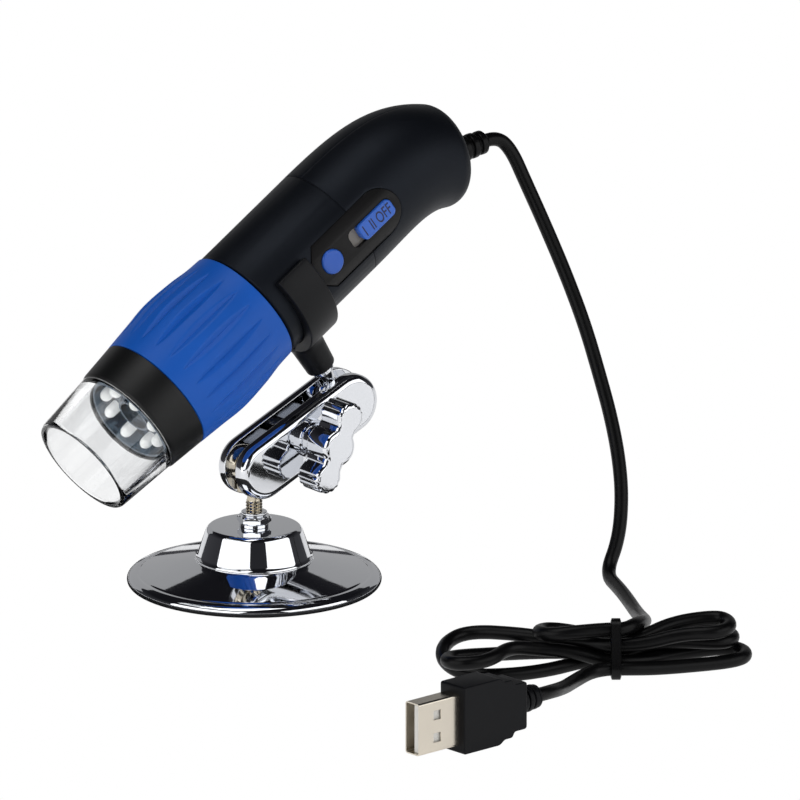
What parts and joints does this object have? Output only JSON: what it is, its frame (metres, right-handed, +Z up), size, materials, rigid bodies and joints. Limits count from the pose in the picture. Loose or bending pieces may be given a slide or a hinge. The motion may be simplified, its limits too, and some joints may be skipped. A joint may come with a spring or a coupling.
{
  "type": "digital microscope",
  "caption": "Handheld digital microscope held by a snap clip on a ball-jointed chrome desk stand, its cord tied in a hank that ends in a plug.",
  "frame": {"origin": "middle of the foot pad's underside, on the surface the stand rests on", "axes": "+Z up; the stand's arm and the microscope lie in the XZ plane, with the nose towards -X and down, and the control panel faces -Y"},
  "size_m": [0.1352, 0.1646, 0.1062],
  "materials": {
    "chrome_plating": "mirror-bright chrome plating",
    "steel": "zinc-plated steel",
    "plug_nickel": "folded nickel-plated steel",
    "brass": "turned brass",
    "pad_foam": "dense foam",
    "clip_plastic": "fine-grained moulded plastic",
    "soft_touch_black": "soft-touch lacquer with a blue-grey sheen",
    "gloss_black": "smooth moulded plastic",
    "panel_black": "smooth inset panel",
    "blue_rubber": "soft-touch blue, fluted",
    "blue_plastic": "moulded blue plastic",
    "clear_acrylic": "polished clear plastic",
    "optical_glass": "coated glass",
    "dish_mirror": "vacuum-metallised plastic",
    "lamp_white": "white lamp resin",
    "board_green": "solder mask",
    "switch_black": "moulded plastic",
    "track_grey": "grey moulded plastic",
    "carriage_black": "anti-reflective black plastic",
    "cord_black": "satin cable sheath",
    "plug_rubber": "moulded satin rubber",
    "tie_black": "thin plastic tie",
    "tongue_white": "white moulded plastic"
  },
  "bodies": {
    "base": {"base_plate": "chrome_plating", "foot_pad": "pad_foam"},
    "lower_stud": {"lower_ball_stud": "chrome_plating", "stem_retaining_nut": "steel", "stem_lock_nut": "chrome_plating"},
    "arm": {"rear_clamp_plate": "chrome_plating", "clamp_screw": "chrome_plating"},
    "front_plate": {"front_clamp_plate": "chrome_plating"},
    "knob": {"clamp_knob": "chrome_plating", "knob_washer": "chrome_plating"},
    "upper_stud": {"upper_ball_stud": "chrome_plating"},
    "clip": {"scope_clip": "clip_plastic", "clip_insert": "brass"},
    "scope": {"front_barrel": "soft_touch_black", "grip_shell_left": "soft_touch_black", "grip_shell_right": "soft_touch_black", "grip_screws": "steel", "control_panel": "panel_black", "slider_track": "track_grey", "main_board": "board_green", "tact_switch": "switch_black", "slide_switch": "switch_black", "sensor_board": "board_green", "image_sensor": "switch_black", "nose_band": "gloss_black", "clear_hood": "clear_acrylic", "lamp_board": "board_green", "lamps": "lamp_white", "lamp_dish": "dish_mirror", "lens_window": "optical_glass", "strain_relief": "cord_black", "inner_lead": "cord_black", "cord_riser": "cord_black", "cord_hank": "cord_black", "cord_lead": "cord_black", "cord_tie": "tie_black", "usb_relief": "plug_rubber", "usb_overmould": "plug_rubber", "usb_shell": "plug_nickel", "usb_tongue": "tongue_white"},
    "focus_ring": {"focus_ring": "blue_rubber"},
    "lens_unit": {"lens_carriage": "carriage_black", "objective_lens": "optical_glass", "focus_pin": "steel"},
    "snapshot_button": {"snapshot_button": "blue_plastic"},
    "light_slider": {"light_slider": "blue_plastic"}
  },
  "joints": [
    {"name": "base_swivel", "type": "hinge", "parent": "base", "child": "lower_stud", "pos_m": [0, 0, 0.0139], "axis": [0, 0, 1], "range_deg": [-170, 170]},
    {"name": "lower_tilt", "type": "hinge", "parent": "lower_stud", "child": "arm", "pos_m": [0, 0, 0.028], "axis": [0, 1, 0], "range_deg": [-35, 25]},
    {"name": "plate_release", "type": "slide", "parent": "arm", "child": "front_plate", "axis": [0, -1, 0], "range_m": [0, 0.00105]},
    {"name": "knob_turn", "type": "hinge", "parent": "front_plate", "child": "knob", "pos_m": [0.01248, 0, 0.03377], "axis": [0, -1, 0], "range_deg": [0, 560]},
    {"name": "upper_tilt", "type": "hinge", "parent": "arm", "child": "upper_stud", "pos_m": [0.02496, 0, 0.03954], "axis": [0, -1, 0], "range_deg": [-40, 15]},
    {"name": "clip_swivel", "type": "hinge", "parent": "upper_stud", "child": "clip", "pos_m": [0.02496, 0, 0.03954], "axis": [-0.5476, 0, 0.8368], "range_deg": [-45, 45]},
    {"name": "scope_roll", "type": "hinge", "parent": "clip", "child": "scope", "pos_m": [-0.0026, 0, 0.06631], "axis": [0.8368, 0, 0.5476], "range_deg": [-20, 20]},
    {"name": "focus_turn", "type": "hinge", "parent": "scope", "child": "focus_ring", "pos_m": [-0.0026, 0, 0.06631], "axis": [0.8368, 0, 0.5476], "range_deg": [-90, 90]},
    {"name": "lens_focus", "type": "slide", "parent": "scope", "child": "lens_unit", "axis": [0.8368, 0, 0.5476], "range_m": [-0.0025, 0.0025]},
    {"name": "button_press", "type": "slide", "parent": "scope", "child": "snapshot_button", "axis": [0.0629, 0.9934, -0.0962], "range_m": [0, 0.0006], "stiffness_N_per_m": 1500},
    {"name": "slider_move", "type": "slide", "parent": "scope", "child": "light_slider", "axis": [-0.8368, 0, -0.5476], "range_m": [0, 0.0028]}
  ],
  "couplings": [
    {"joint": "knob_turn", "follows": "plate_release", "rad_per_m": 8976.7},
    {"joint": "lens_focus", "follows": "focus_turn", "m_per_rad": 0.0015915}
  ]
}
